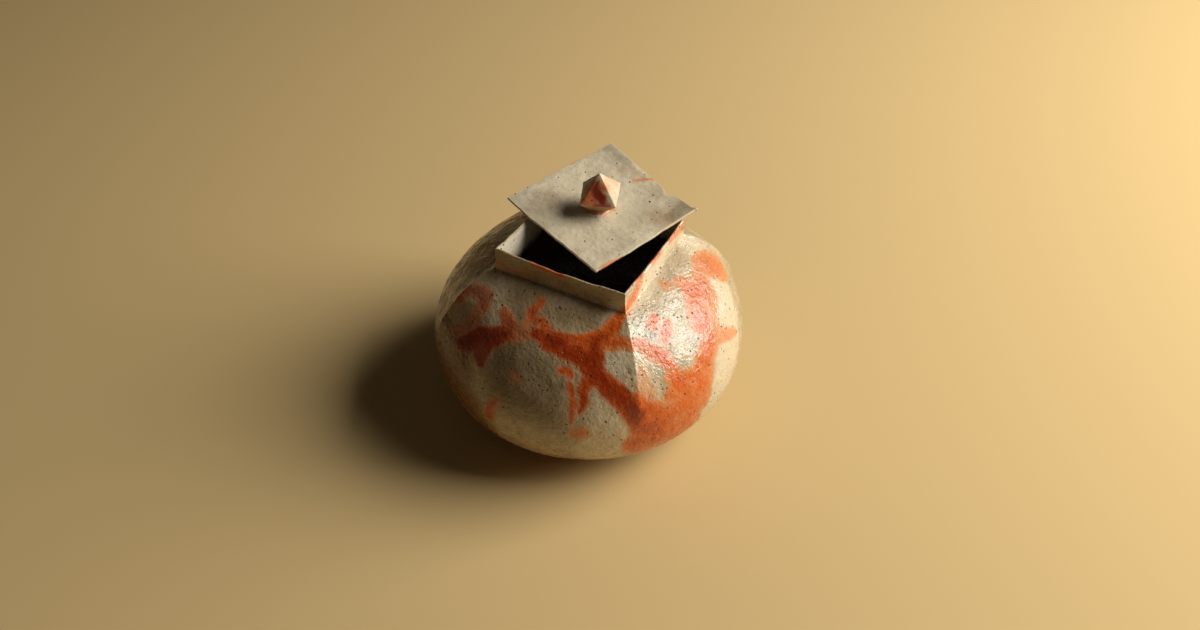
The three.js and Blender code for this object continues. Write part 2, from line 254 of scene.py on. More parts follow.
# Broad brown patches, partly where the glaze is thin and partly painted shade on the shaded
# sides: how brown, and then places as above. From 1 to 2 the brown goes on from tan towards
# umber, where the painted shade is deepest.
BROWN_AND_SHADED = [
    (1.6, [(-160, -8, 14), (-140, 6, 24), (-125, 4, 24), (-110, -12, 20)]),
    (1, [(-108, -20, 18), (-80, -28, 14)]),
    (1.3, [(-168, 22, 20), (-155, 45, 12)]),
    (1.5, [(-178, 6, 14), (-166, -4, 16)]),
    (0.6, [(-112, 46, 8), (-100, 46, 12), (-98, 30, 14), (-96, 20, 13), (-94, 12, 10)]),
    (0.5, [(-84, 12, 7), (-77, 9, 6)]),
    (0.5, [(-95, 42, 8), (-80, 46, 8), (-66, 45, 6)]),
    (0.3, [(-92, 25, 8), (-80, 24, 10), (-76, 16, 7)]),
    (0.8, [(-142, 26, 8), (-122, 27, 12)]),
    (0.8, [(-139, 46, 5), (-125, 53, 5), (-110, 58, 5.5), (-90, 60, 5.5), (-70, 58, 5.5),
           (-55, 52, 5), (-43, 47, 5)]),
    (0.6, [(20, -24, 14), (60, -20, 16), (100, -28, 14)]),
    (0.8, [(110, 30, 8), (125, 26, 12), (140, 0, 14)]),
]

# Dusky patches of painted shade on the shaded front and at the back, with how dusky they are
SHADED_PATCHES = [
    (0.65, [(-112, 46, 8), (-100, 46, 12), (-98, 30, 14), (-96, 20, 13), (-90, 12, 12),
            (-78, 10, 9)]),
    (0.5, [(-95, 42, 8), (-80, 46, 8), (-66, 45, 6)]),
    (0.65, [(-92, 25, 8), (-80, 24, 10), (-76, 16, 7)]),
    (0.4, [(128, 20, 10), (140, 4, 12), (150, -12, 10)]),
]

# Pale cream patches, partly paler glaze and partly painted light on the lit right side, the
# shoulder and near the front ridge, with how pale they are
PALE_AND_LIT = [
    (1, [(-26, -14, 14), (-14, -6, 15), (0, 8, 14), (16, 22, 12), (32, 30, 11), (40, 41, 9)]),
    (1, [(-42, 47, 7), (-20, 53, 8), (0, 56, 8), (25, 54, 8), (45, 50, 7)]),
    (0.6, [(-50, 30, 7), (-53, 26, 7)]),
    (0.6, [(-58, 12, 8), (-55, 4, 13), (-57, -8, 15)]),
    (0.8, [(-39, 36, 6), (-40, 26, 7), (-42, 18, 6)]),
]

# Pits in the jar: azimuth, elevation and radius
JAR_PITS = [
    (-91, 41, 0.9),
    (-46, 22, 0.8),
    (-83, 27, 0.6),
    (-84, 20, 0.6),
    (-65, 22, 0.5),
    (-27, 38, 0.6),
    (-8, 40, 0.5),
    (70, 24, 0.8),
    (135, 30, 0.7),
]

# Lumps of clay on the jar: azimuth, elevation, radius and height
JAR_LUMPS = [(-39, -4, 1.7, 1.0), (-76, 21, 1.6, 0.4), (-75, 19, 1.3, 0.35), (100, 10, 1.6, 0.7)]

# The hand-cut lid: how far each side stands out from a true square, at shares of the way
# along it. The sides go as those of the mouth do.
LID_RIGHT = [(0, 0.9), (0.25, 1.0), (0.5, 0.3), (0.8, -0.5), (1, -1.1)]
LID_BACK = [(0, -2.4), (0.12, -2.9), (0.22, -3.2), (0.25, -6.8), (0.3, -6.4), (0.34, -4.4),
            (0.5, -3), (1, 0.5)]
LID_LEFT = [(0, 0.1), (0.2, -0.5), (0.35, 0.2), (0.67, -0.4), (0.69, -1.7), (0.73, -1.3),
            (0.8, 0.2), (1, -0.6)]
LID_FRONT = [(0, 0.3), (0.1, 0.6), (0.28, 1.3), (0.4, 0.6), (0.75, 0.4), (1, 0.3)]
LID_SIDES = [LID_RIGHT, LID_BACK, LID_LEFT, LID_FRONT]

# Marks on the lid: how dark, how much they cover, and then places along the stroke, in
# the lid's own frame, and half width
LID_MARKS = [
    (0.35, 0.7, [(-3, 27.7, 2.6, 0.6), (0, 33.5, 2.6, 0.9), (3, 38, 2.6, 1.3)]),
    (0.5, 0.9, [(41, -39.5, 1.2, 0.5), (42, -35, 1.2, 1), (42.3, -29, 1.2, 1),
                (42.3, -22, 1.2, 0.5)]),
    (0.1, 0.5, [(9, -5, 3, 1.2), (9.5, 0, 3, 1)]),
    (0.6, 0.8, [(-41, 8, 1.2, 0.6), (-41.5, 20, 1.2, 0.9), (-41, 30, 1.2, 0.5)]),
    (0.6, 0.8, [(-10, 39, 0.5, 1), (-24, 40, 0.5, 1)]),
]

# Greyer, ashier parts of the lid: how grey, and then such places
LID_ASH = [
    (1, [(38, 38, 2.6, 13), (36, 22, 2.6, 6)]),
    (0.35, [(20, 30, 2.6, 12), (22, 8, 2.6, 12), (34, 12, 2.6, 8)]),
    (0.6, [(-36, 38, 2.6, 6), (-20, 37, 2.6, 3)]),
]

# Pits in the lid's top: place and radius
LID_PITS = [(17.4, 21.7, 0.9), (18.9, -30.5, 0.7), (-3.9, 24.5, 0.8), (-29, -12, 0.5),
            (30, 12, 0.5), (28, 28, 0.6)]

# Marks on the knob: how dark, how much they cover, the numbers of the two corners below
# the facet, and then how far from the peak to the one and to the other, and half width
KNOB_MARKS = [
    (0.7, 0.85, 3, 0, [(0.3, 0.03, 1.6), (0.55, 0.06, 2.2), (0.85, 0.04, 1.6)]),
    (1.8, 1, 3, 0, [(0.2, 0.1, 1.2), (0.38, 0.12, 2.6), (0.35, 0.33, 2.8), (0.3, 0.46, 2.4),
                    (0.32, 0.6, 1.6)]),
    (0.6, 0.8, 3, 0, [(0.14, 0.26, 1.6), (0.03, 0.4, 1.3)]),
    (0.6, 0.7, 3, 0, [(0.74, 0.14, 2.2), (0.58, 0.3, 1.6)]),
    (1.0, 0.9, 3, 0, [(0.6, 0.38, 0.9), (0.4, 0.58, 0.9), (0.2, 0.78, 0.8)]),
    (0.15, 0.3, 0, 1, [(0.05, 0.3, 1), (0.04, 0.6, 1.2), (0.1, 0.75, 1)]),
    (0.15, 0.25, 0, 1, [(0.2, 0.15, 1.4), (0.42, 0.1, 1.2)]),
    (0.8, 0.6, 2, 3, [(0.05, 0.3, 1.4), (0.12, 0.6, 1.2)]),
    (0.4, 0.8, 2, 3, [(0.12, 0.35, 2), (0.3, 0.5, 3), (0.5, 0.3, 2.4)]),
    (0.8, 1, 1, 2, [(0.2, 0.2, 1.5), (0.5, 0.3, 2.6), (0.3, 0.6, 1.4)]),
]
KNOB_PITS = [(3, 0, [(0.61, 0.24, 0.8)])]

# Colours, matched to the photograph under this light
# Pale cream, partly the glaze's own and partly painted light on the lit side and the lid's edges
PALE_CREAM_AND_LIGHT = (0.79, 0.66, 0.46)
CREAM = (0.68, 0.53, 0.34)
OLIVE_CREAM = (0.53, 0.42, 0.26)
GREY = (0.37, 0.30, 0.19)
# Tan of thin glaze and of the lid's mottling, also used as painted shade on the jar's shaded sides
# and under the knob's waist
TAN_AND_SHADE = (0.36, 0.185, 0.07)
# Umber, painted shade on the darkest shaded side
UMBER_AND_SHADE = (0.20, 0.075, 0.02)
# Dusky olive, painted shade on the shaded front
DUSKY_SHADE = (0.22, 0.16, 0.08)
PALE_ORANGE = (0.75, 0.31, 0.12)
ORANGE = (0.74, 0.14, 0.018)
RED = (0.42, 0.052, 0.007)
DARK_RED = (0.25, 0.022, 0.003)
SPECK = (0.055, 0.035, 0.02)
RUST_SPECK = (0.28, 0.12, 0.05)
ASH = (0.24, 0.20, 0.13)
LINING = (0.64, 0.59, 0.49)
# Painted shade for the inside below the mouth
INTERIOR_SHADE = (0.16, 0.10, 0.055)
# Painted shade in the pits
PIT_SHADE = (0.05, 0.025, 0.015)


def smoothstep(value, low, high):
    t = np.clip((value - low) / (high - low), 0, 1)
    return t * t * (3 - 2 * t)


def lerp(a, b, t):
    return a + (b - a) * t


class Square:
    """Columns round a square, closer together near its corners."""

    def __init__(self, side_columns):
        even = 2 * np.arange(side_columns) / side_columns - 1
        closer = np.sign(even) * (1 - (1 - np.abs(even)) ** CORNER_CROWDING)
        self.count = 4 * side_columns
        self.side_columns = side_columns
        self.along = np.tile((closer + 1) / 2, 4)
        self.side = np.repeat(np.arange(4), side_columns)
        self.after = (self.side + 1) % 4
        self.signs = lerp(CORNER_SIGNS[self.side], CORNER_SIGNS[self.after], self.along[:, None])

    def between(self, at_corners):
        """Values given at the corners, spread evenly along the sides."""
        at_corners = np.array(at_corners)
        return lerp(at_corners[self.side], at_corners[self.after], self.along)


jar_square = Square(JAR_SIDE_COLUMNS)
lid_square = Square(LID_SIDE_COLUMNS)

# The direction of each of the jar's columns at the belly, and how far it is from a corner
angle = math.pi / 2 * (jar_square.side + jar_square.along - 0.5)
from_corner = math.pi / 2 * np.minimum(jar_square.along, 1 - jar_square.along)


def circle(count):
    """Points round a unit circle that lies flat."""
    turns = np.linspace(0, 2 * math.pi, count, endpoint=False)
    return np.stack([np.cos(turns), np.sin(turns), np.zeros(count)], axis=1)


def lumps(points, size, seed):
    """Smooth noise from -1 to 1 whose features are about size millimetres across."""
    offset = Vector((seed, -seed, 2 * seed))
    return np.array([noise.noise(Vector(point) / size + offset) for point in points])


def uneven(points, layers):
    return sum(height * lumps(points, size, seed) for height, size, seed in layers)


def ring(half_width, half_depth, radius, roundness, height):
    """One ring of the wall, between the mouth's rectangle and the round belly."""
    ridge = RIDGE_RISE * smoothstep(height, RIDGE_FOOT, RIDGE_FULL_HEIGHT)
    crest = np.sqrt((from_corner * radius) ** 2 + CREST_ROUND) - CREST_SHIFT
    reach = radius + ridge * np.exp(-crest / RIDGE_SPREAD)
    straight = jar_square.signs * (half_width, half_depth) + (0, MOUTH_SHIFT)
    x = lerp(straight[:, 0], np.cos(angle) * reach, roundness)
    y = lerp(straight[:, 1], np.sin(angle) * reach, roundness)
    return np.stack([x, y, np.full(jar_square.count, height)], axis=1)


def rim_height():
    """The rim's height all round, which only dips below the plain rim, never above it."""
    sag = np.array(RIM_SAG)[jar_square.side] * 4 * jar_square.along * (1 - jar_square.along)
    round_jar = np.stack([np.cos(angle), np.sin(angle), 0 * angle], axis=1)
    wave = RIM_WAVE * np.maximum(lumps(round_jar, 0.32, 4.2) + 0.4, 0)
    nibble = RIM_NIBBLE * np.maximum(lumps(round_jar, 0.09, 9.2) + 0.3, 0)
    return BODY_TOP + COLLAR_HEIGHT + jar_square.between(RIM_CORNER_RISE) - sag - wave - nibble


def body_rings(half_width, half_depth, base_radius, belly_radius, bottom, top, steps):
    """Rings of one face of the body's wall, from its base up to the mouth's rectangle."""
    rings = []
    for turn in np.linspace(math.pi / 2, 0, steps, endpoint=False):
        depth = math.sin(turn) ** (2 / UNDERSIDE_POWER)
        spread = math.cos(turn) ** (2 / UNDERSIDE_FULLNESS)
        radius = lerp(base_radius, belly_radius, spread)
        rings.append(ring(half_width, half_depth, radius, 1, lerp(BELLY_HEIGHT, bottom, depth)))
    for turn in np.linspace(0, math.pi / 2, int(1.6 * steps)):
        rise = math.sin(turn) ** (2 / SHOULDER_POWER)
        roundness = max(0, math.cos(turn)) ** (2 / SHOULDER_FULLNESS)
        height = lerp(BELLY_HEIGHT, top, rise)
        rings.append(ring(half_width, half_depth, belly_radius, roundness, height))
    return rings


def collar_ring(inset, height):
    half = (MOUTH_WIDTH / 2 - inset, MOUTH_DEPTH / 2 - inset)
    flat = jar_square.signs * half + (0, MOUTH_SHIFT)
    return np.column_stack([flat, np.broadcast_to(height, jar_square.count)])


def disc_rings(edge, height, steps):
    """Rings that close a round floor, from its edge in towards the middle."""
    rings = []
    for share in np.linspace(1, 0, steps, endpoint=False)[1:]:
        inner = edge * share
        inner[:, 2] = height
        rings.append(inner)
    return rings


def jar_rings():
    """All rings of the jar, and the row numbers of the collar's foot and of the rim."""
    outside = body_rings(
        MOUTH_WIDTH / 2 + COLLAR_FLARE,
        MOUTH_DEPTH / 2 + COLLAR_FLARE,
        BODY_BASE_RADIUS,
        BELLY_RADIUS,
        FOOT_HEIGHT,
        BODY_TOP,
        JAR_OUTSIDE_STEPS,
    )
    inside = body_rings(
        MOUTH_WIDTH / 2 - COLLAR_WALL,
        MOUTH_DEPTH / 2 - COLLAR_WALL,
        BODY_BASE_RADIUS - WALL,
        BELLY_RADIUS - WALL,
        FOOT_HEIGHT + FLOOR_THICKNESS,
        BODY_TOP - SHOULDER_THICKNESS,
        JAR_INSIDE_STEPS,
    )
    rim = rim_height()
    collar = []
    for share in np.linspace(0, 1, COLLAR_STEPS)[1:]:
        flare = COLLAR_FLARE * (1 - share) ** 1.5 + RIM_FLARE * share**3
        collar.append(collar_ring(-flare, lerp(BODY_TOP, rim - RIM_WALL / 2, share)))
    lip = []
    for turn in np.linspace(0, math.pi, LIP_STEPS)[1:-1]:
        inset = RIM_WALL / 2 * (1 - math.cos(turn)) - RIM_FLARE
        lip.append(collar_ring(inset, rim - RIM_WALL / 2 * (1 - math.sin(turn))))
    lining = []
    for share in np.linspace(0, 1, LINING_STEPS):
        height = lerp(rim - RIM_WALL / 2, BODY_TOP - 1, share)
        lining.append(collar_ring(lerp(RIM_WALL - RIM_FLARE, COLLAR_WALL, share**0.5), height))
    under = disc_rings(outside[0], FOOT_HEIGHT, JAR_UNDERSIDE_STEPS)[::-1]
    floor = disc_rings(inside[0], FOOT_HEIGHT + FLOOR_THICKNESS, JAR_FLOOR_STEPS)
    rows = under + outside + collar + lip + lining + inside[::-1] + floor
    crease = len(under) + len(outside) - 1
    return np.array(rows), crease, crease + len(collar) + len(lip)


def soften(rows, crease, below, above, passes):
    """Evens the profile column by column, from so many rows below the crease to above it."""
    rows = rows.copy()
    low, high = crease - below, crease + above
    for _ in range(passes):
        middle = rows[low:high].copy()
        rows[low:high] = (rows[low - 1 : high - 1] + 2 * middle + rows[low + 1 : high + 1]) / 4
    return rows


def crease_blend():
    """How soft the crease at the collar's foot is in each column."""
    softness = np.array(CREASE_SOFTNESS)
    at_corner = (softness + np.roll(softness, 1)) / 2
    nearest = np.where(jar_square.along < 0.5, jar_square.side, jar_square.after)
    share = np.minimum(jar_square.along, 1 - jar_square.along)
    return lerp(at_corner[nearest], softness[jar_square.side], smoothstep(share, 0, 0.12))


def link(name, data):
    piece = bpy.data.objects.new(name, data)
    bpy.context.collection.objects.link(piece)
    return piece


def skin(name, rows, closed=False):
    """A mesh through rings of points. It is capped at both ends, or closed on itself."""
    rows = np.asarray(rows)
    bands, count = rows.shape[:2]
    points = rows.reshape(-1, 3)
    faces = []
    for row in range(bands if closed else bands - 1):
        low = row * count
        high = (row + 1) % bands * count
        for column in range(count):
            after = (column + 1) % count
            faces.append((low + column, low + after, high + after, high + column))
    if not closed:
        first = len(points)
        last = first - count
        points = np.vstack([points, rows[0].mean(axis=0), rows[-1].mean(axis=0)])
        for column in range(count):
            after = (column + 1) % count
            faces.append((first, after, column))
            faces.append((first + 1, last + column, last + after))
    mesh = bpy.data.meshes.new(name)
    mesh.from_pydata((points * MM).tolist(), [], faces)
    mesh.shade_smooth()
    return link(name, mesh)


def points_of(mesh):
    flat = np.empty(len(mesh.vertices) * 3)
    mesh.vertices.foreach_get("co", flat)
    return flat.reshape(-1, 3) / MM


def normals_of(mesh):
    flat = np.empty(len(mesh.vertices) * 3)
    mesh.vertices.foreach_get("normal", flat)
    return flat.reshape(-1, 3)


def push(piece, amount):
    """Moves each vertex along its normal by amount millimetres."""
    mesh = piece.data
    moved = points_of(mesh) + normals_of(mesh) * amount[:, None]
    mesh.vertices.foreach_set("co", (moved * MM).ravel())
    mesh.update()


def paint(piece, name, values, elsewhere=0.0):
    """An attribute with values for a piece's first points, and one value for the rest."""
    rest = np.full(len(piece.data.vertices) - len(values), elsewhere)
    attribute = piece.data.attributes.new(name, "FLOAT", "POINT")
    attribute.data.foreach_set("value", np.append(values, rest).astype(np.float32))


def stroke_fields(points, strokes):
    """How far each point is inside the nearest stroke, in millimetres and negative
    outside, and a mean of the figures of the strokes near it. A stroke is its figures,
    its places and its half width at each of them."""
    inside = np.full(len(points), FAR_OUTSIDE)
    weights = np.full(len(points), 1e-9)
    figures = 0
    for own, places, widths in strokes:
        for k in range(len(places) - 1):
            start, step = places[k], places[k + 1] - places[k]
            t = np.clip((points - start) @ step / max(step @ step, 1e-6), 0, 1)
            apart = np.linalg.norm(points - start - t[:, None] * step, axis=1)
            depth = lerp(widths[k], widths[k + 1], t) - apart
            inside = np.maximum(inside, depth)
            weight = np.exp(np.clip(depth, -12, 4) * 0.9)
            weights += weight
            figures = figures + np.outer(own, weight)
    return inside, figures / weights


def paint_strokes(piece, points, strokes, name, *figure_names):
    """Attributes for how far inside the strokes the points are, and for the figures."""
    inside, figures = stroke_fields(points, strokes)
    paint(piece, name, inside, FAR_OUTSIDE)
    for figure_name, figure in zip(figure_names, figures):
        paint(piece, figure_name, figure)


def place_on(outer, azimuth, elevation):
    """The point of the jar's outer face that is seen in a direction from the middle."""
    flat = math.cos(math.radians(elevation))
    aim = (
        flat * math.cos(math.radians(azimuth)),
        flat * math.sin(math.radians(azimuth)),
        math.sin(math.radians(elevation)),
    )
    rays = outer - (0, 0, BELLY_HEIGHT)
    rays /= np.linalg.norm(rays, axis=1)[:, None]
    return outer[np.argmax(rays @ aim)]


def on_jar(outer, marks):
    """Marks by direction, as strokes on the jar's outer face."""
    strokes = []
    for *figures, stops in marks:
        places = [place_on(outer, azimuth, elevation) for azimuth, elevation, _ in stops]
        strokes.append((figures, places, [width for *_, width in stops]))
    return strokes


def paint_jar(piece, points, outer):
    """The attributes that the jar's glaze reads, for its fire marks, patches and inside."""
    fire, (burn, veil) = stroke_fields(outer, on_jar(outer, FRONT_MARKS + BACK_MARKS))
    for stroke in on_jar(outer, ISLANDS):
        island, (paleness,) = stroke_fields(outer, [stroke])
        fire = lerp(fire, np.minimum(fire, -island), paleness)
    paint(piece, "fire", fire, FAR_OUTSIDE)
    paint(piece, "burn", burn)
    paint(piece, "veil", veil)
    paint_strokes(piece, outer, on_jar(outer, BROWN_AND_SHADED), "brown_and_shade", "browning_and_shade")
    paint_strokes(piece, outer, on_jar(outer, SHADED_PATCHES), "dusky_shade", "dusky_shading")
    paint_strokes(piece, outer, on_jar(outer, PALE_AND_LIT), "pale", "paling_and_light")
    depth = BODY_TOP + 2 - points[len(outer):, 2]
    paint(piece, "depth", np.append(np.full(len(outer), FAR_OUTSIDE), depth))


def make_jar():
    """The jar's skin, and its pits as points and radii."""
    rows, crease, lip_end = jar_rings()
    crisp = soften(rows, crease, *CRISP_CREASE)
    flowing = soften(rows, crease, *FLOWING_CREASE)
    rows = lerp(crisp, flowing, crease_blend()[None, :, None])
    piece = skin("jar_skin", rows)
    points = points_of(piece.data)
    below_rim = 1 - smoothstep(points[:, 2], BODY_TOP + 4, BODY_TOP + 12)
    rolling = uneven(points, JAR_ROLLING) + uneven(points * HAND_LINE_SQUASH, JAR_HAND_LINES)
    fine = uneven(points, JAR_GRAIN)
    push(piece, rolling * lerp(0.3, 1, below_rim) + fine * lerp(0.5, 1, below_rim))

    points = points_of(piece.data)
    outer = points[: (lip_end + 1) * jar_square.count]
    raised = np.zeros(len(points))
    for azimuth, elevation, radius, height in JAR_LUMPS:
        apart = np.linalg.norm(points - place_on(outer, azimuth, elevation), axis=1)
        raised += height * np.exp(-((apart / radius) ** 2))
    push(piece, raised)

    paint_jar(piece, points, outer)
    pits = [(place_on(outer, azimuth, elevation), radius) for azimuth, elevation, radius in JAR_PITS]
    return piece, pits


def make_foot():
    """The ring foot, round its section from the inner corner of the sole."""
    inner = FOOT_RADIUS - FOOT_WIDTH
    outline = [
        (inner + 1, 0.0),
        (FOOT_RADIUS - 1.2, 0.0),
        (FOOT_RADIUS - 0.4, 0.3),
        (FOOT_RADIUS, 1.0),
        (FOOT_RADIUS + 0.5, 2.6),
        (FOOT_RADIUS + FOOT_TAPER, FOOT_HEIGHT),
        (inner - FOOT_TAPER, FOOT_HEIGHT),
        (inner - 0.5, 2.6),
        (inner, 1.0),
        (inner + 0.4, 0.3),
    ]
    directions = circle(FOOT_COLUMNS)
    wobble = uneven(directions, FOOT_WOBBLE)
    rows = []
    for radius, height in outline:
        reach = radius + wobble * (1 if radius > FOOT_RADIUS - 2 else -1)
        rows.append(directions * reach[:, None] + (0, 0, height))
    return skin("foot", rows, closed=True)


class LidFrame:
    """The lid's own place and directions, found from the plate in the frame."""

    def __init__(self):
        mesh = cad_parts["lid_plate"].data
        up = np.zeros(3)
        for polygon in mesh.polygons:
            if polygon.normal.z > 0.9:
                up += np.array(polygon.normal) * polygon.area
        up /= np.linalg.norm(up)
        right = np.array([math.cos(LID_TURN), math.sin(LID_TURN), 0])
        right -= up * (right @ up)
        right /= np.linalg.norm(right)
        self.axes = np.stack([right, np.cross(up, right), up])
        self.origin = np.zeros(3)
        spread = self.to_local(points_of(mesh))
        low, high = spread.min(axis=0), spread.max(axis=0)
        self.half = (high - low)[:2] / 2
        self.origin = self.to_world(np.append((low + high)[:2] / 2, low[2]))

    def to_local(self, points):
        return (points - self.origin) @ self.axes.T

    def to_world(self, points):
        return self.origin + points @ self.axes

    def skin(self, name, rows):
        return skin(name, self.to_world(np.asarray(rows)))


lid_frame = LidFrame()
knob_points = lid_frame.to_local(points_of(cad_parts["knob"].data))
knob_peak = knob_points[np.argmax(knob_points[:, 2])]
knob_corners = [knob_points[np.argmax(knob_points[:, :2] @ way)] for way in SIDE_DIRECTIONS]
knob_foot = knob_points[:, 2].min()


def lid_outline():
    """The lid's outline in its own frame, with worn corners and wavy cut sides."""
    outline = lid_square.signs * lid_frame.half
    for number, stops in enumerate(LID_SIDES):
        places, offsets = zip(*stops)
        offset = np.interp(lid_square.along, places, offsets) * (lid_square.side == number)
        outline += SIDE_DIRECTIONS[number] * offset[:, None]
        next_corner = (number + 1) % 4 * lid_square.side_columns
        outline[next_corner] += SIDE_DIRECTIONS[number] * offsets[-1]
    flat = np.column_stack([outline, 0 * lid_square.along])
    wave = uneven(flat, LID_EDGE_WAVES)
    outline += outline / np.linalg.norm(outline, axis=1)[:, None] * wave[:, None]
    for _ in range(2):
        outline = (np.roll(outline, 1, axis=0) + 2 * outline + np.roll(outline, -1, axis=0)) / 4
    return outline


def on_lid(marks):
    strokes = []
    for *figures, stops in marks:
        places = [np.array(spot) for *spot, _ in stops]
        strokes.append((figures, places, [width for *_, width in stops]))
    return strokes


def make_lid():
    """The slab, from the underside's middle out, round the edge and back over the top."""
    outline = lid_outline()
    turns = np.linspace(-math.pi / 2, math.pi / 2, LID_EDGE_ROWS)
    bevel = 1 - LID_EDGE_ROUND / lid_frame.half.mean() * (1 - np.cos(turns))
    under = np.linspace(0.02, 0.985, LID_UNDER_ROWS)
    top = np.linspace(0.985, 0.02, LID_TOP_ROWS)
    shares = np.concatenate([under, bevel, top])
    levels = np.concatenate([0 * under - 1, np.sin(turns), 0 * top + 1])
    thinner = LID_THICKNESS - LID_EDGE_THICKNESS
    rows = []
    for share, level in zip(shares, levels):
        cut = lerp(lid_square.signs * lid_frame.half, outline, smoothstep(share, 0.75, 0.97)) * share
        flat = np.column_stack([cut, 0 * lid_square.along])
        warp = uneven(flat, LID_WARP)
        from_knob = np.linalg.norm(cut - knob_peak[:2], axis=1)
        pull = LID_DRAWN_UP * np.exp(-((from_knob / LID_DRAWN_REACH) ** 2))
        near_edge = smoothstep(share, 0.9, 1.0)
        low = 0.75 * thinner * near_edge
        high = LID_THICKNESS - 0.25 * thinner * near_edge
        z = lerp(low, high, (level + 1) / 2) + max(level, 0) * (warp * lerp(1, 0.3, near_edge) + pull)
        rows.append(np.column_stack([cut, z]))
    piece = lid_frame.skin("lid_slab", rows)
    points = points_of(piece.data)
    push(piece, uneven(points, LID_GRAIN))

    local = lid_frame.to_local(points_of(piece.data))
    paint_strokes(piece, local, on_lid(LID_MARKS), "fire", "burn", "veil")
    paint_strokes(piece, local, on_lid(LID_ASH), "ash", "greying")
    # Paler edges: partly worn glaze, partly a painted highlight along the edges
    paint(piece, "edge", np.repeat(smoothstep(shares, 0.965, 0.99), lid_square.count))
    pits = []
    for x, y, radius in LID_PITS:
        pits.append((lid_frame.to_world(np.array((x, y, LID_THICKNESS))), radius))
    return piece, pits


def on_knob(marks):
    strokes = []
    for *figures, one, other, stops in marks:
        places = []
        for to_one, to_other, _ in stops:
            down_one = (knob_corners[one] - knob_peak) * to_one
            down_other = (knob_corners[other] - knob_peak) * to_other
            places.append(knob_peak + down_one + down_other)
        strokes.append((figures, places, [width for *_, width in stops]))
    return strokes


def facet_through(centre, a, b, c):
    """The outward direction and the distance of the plane through three points."""
    normal = np.cross(b - a, c - a)
    normal /= np.linalg.norm(normal)
    distance = (a - centre) @ normal
    return (normal, distance) if distance > 0 else (-normal, -distance)


def knob_facets(centre):
    """The planes of the bipyramid: four above, four below and the one it is cut off at."""
    grown = [lerp(centre, corner, KNOB_GROWTH) for corner in knob_corners]
    peak = knob_peak + (0, 0, KNOB_PEAK_GROWTH)
    facets = [(np.array([0, 0, -1.0]), centre[2] - knob_foot + KNOB_FOOT_DROP)]
    for number in range(4):
        a, b = grown[number], grown[(number + 1) % 4]
        foot_a, foot_b = (lerp(centre, corner, KNOB_FOOT_SHARE) for corner in (a, b))
        foot_a[2] = foot_b[2] = knob_foot
        waist = (a + b) / 2 - (0, 0, KNOB_WAIST_DROP)
        facets.append(facet_through(centre, peak, a, b))
        facets.append(facet_through(centre, waist, foot_a, foot_b))
    return facets


def make_knob():
    """The four-sided bipyramid, with its arrises and corners worn a little round."""
    centre = np.append(knob_peak[:2], np.mean([corner[2] for corner in knob_corners]))
    normals, distances = (np.array(part) for part in zip(*knob_facets(centre)))
    rows = []
    for tilt in np.radians(np.linspace(-89, 89, KNOB_ROWS)):
        rays = circle(KNOB_COLUMNS) * math.cos(tilt) + (0, 0, math.sin(tilt))
        reach = np.maximum(rays @ normals.T, 1e-6) / distances
        rounded = (reach**KNOB_SHARPNESS).sum(axis=1) ** (1 / KNOB_SHARPNESS)
        rows.append(centre + rays / rounded[:, None])
    piece = lid_frame.skin("knob_stone", rows)
    points = points_of(piece.data)
    push(piece, uneven(points, KNOB_WEAR))

    local = lid_frame.to_local(points_of(piece.data))
    paint_strokes(piece, local, on_knob(KNOB_MARKS), "fire", "burn", "veil")
    # How far below the knob's waist each point is, for painted shade on the lower facets
    paint(piece, "under", centre[2] - local[:, 2])
    pits = [(lid_frame.to_world(places[0]), widths[0]) for _, places, widths in on_knob(KNOB_PITS)]
    return piece, pits


def make_stem():
    """The clay that lutes the knob on, worked out into the slab all round."""
    directions = circle(STEM_COLUMNS)
    foot_reach = STEM_FOOT_REACH + uneven(directions, STEM_SPREAD)
    foot = np.append(knob_peak[:2], 0)
    rows = []
    for share in np.linspace(0, 1, STEM_ROWS):
        reach = lerp(foot_reach, STEM_TOP_REACH, share**0.5)
        height = lerp(LID_THICKNESS - STEM_SUNK, knob_foot + STEM_INSIDE_KNOB, share**1.7)
        rows.append(foot + directions * reach[:, None] + (0, 0, height))
    piece = lid_frame.skin("stem", rows)
    points = points_of(piece.data)
    push(piece, uneven(points, STEM_GRAIN))
    above = lid_frame.to_local(points)[:, 2] - LID_THICKNESS
    paint(piece, "fire", above - 1.6)
    paint(piece, "burn", [], 0.6)
    paint(piece, "veil", [], 0.7)
    paint(piece, "ash", [], FAR_OUTSIDE)
    paint(piece, "greying", [])
    paint(piece, "edge", [])
    return piece


# Small helpers for the materials' node trees
def material(name, roughness, specular):
    made = bpy.data.materials.new(name)
    made.use_nodes = True
    shader = made.node_tree.nodes["Principled BSDF"]
    shader.inputs["Roughness"].default_value = roughness
    shader.inputs["Specular IOR Level"].default_value = specular
    return made, made.node_tree, shader


def join(tree, value, socket):
    """Puts a node's output, a number or a colour into a socket."""
    if isinstance(value, bpy.types.NodeSocket):
        tree.links.new(value, socket)
    elif isinstance(value, tuple) and socket.type == "RGBA":
        socket.default_value = (*value, 1)
    else:
        socket.default_value = value


def add_node(tree, kind, settings=None, **values):
    made = tree.nodes.new("ShaderNode" + kind)
    for name, value in (settings or {}).items():
        setattr(made, name, value)
    for name, value in values.items():
        join(tree, value, made.inputs[name.replace("_", " ")])
    return made


def place(tree, scale=(1, 1, 1)):
    where = add_node(tree, "TexCoord").outputs["Object"]
    return add_node(tree, "Mapping", Vector=where, Scale=Vector(scale)).outputs["Vector"]


